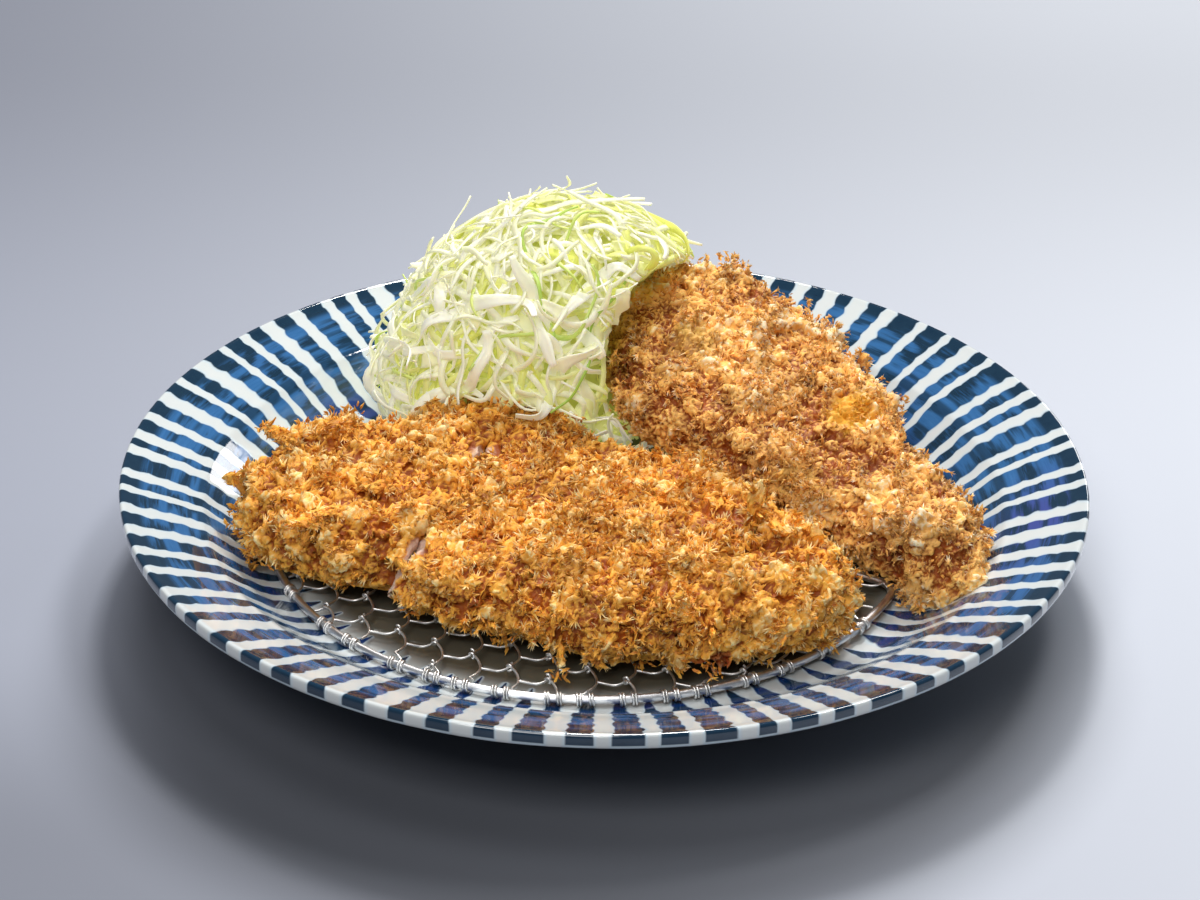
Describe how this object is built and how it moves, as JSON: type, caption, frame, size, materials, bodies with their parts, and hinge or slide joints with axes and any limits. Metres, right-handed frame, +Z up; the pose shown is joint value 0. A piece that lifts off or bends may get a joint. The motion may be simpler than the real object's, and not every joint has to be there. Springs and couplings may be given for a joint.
{
  "type": "tonkatsu plate",
  "caption": "Sliced breaded pork cutlet on a wire draining rack, with a whole cutlet leaning on shredded cabbage, in a rimmed striped plate.",
  "frame": {"origin": "on the table, under the middle of the plate", "axes": "+Z up; +Y to the back, where the cabbage stands; +X to the right, seen from the diner's side"},
  "size_m": [0.27, 0.27, 0.0861],
  "materials": {
    "glaze": "glossy porcelain glaze with uneven indigo stripes painted under it",
    "rod_steel": "polished stainless rod",
    "net_steel": "thin bright stainless wire",
    "golden_crust": "golden fried breadcrumbs, craggy, slightly oily",
    "brown_crust": "browner fried breadcrumbs, craggy, slightly oily",
    "leaf": "moist shredded cabbage, pale green to white, slightly translucent"
  },
  "bodies": {
    "root": {"plate": "glaze", "rack_frame": "rod_steel", "rack_net": "net_steel", "cutlet_slice_1": "golden_crust", "cutlet_slice_2": "golden_crust", "cutlet_slice_3": "golden_crust", "cutlet_slice_4": "golden_crust", "cutlet_slice_5": "golden_crust", "cutlet_slice_6": "golden_crust", "rear_cutlet": "brown_crust", "cabbage": "leaf"}
  },
  "joints": []
}
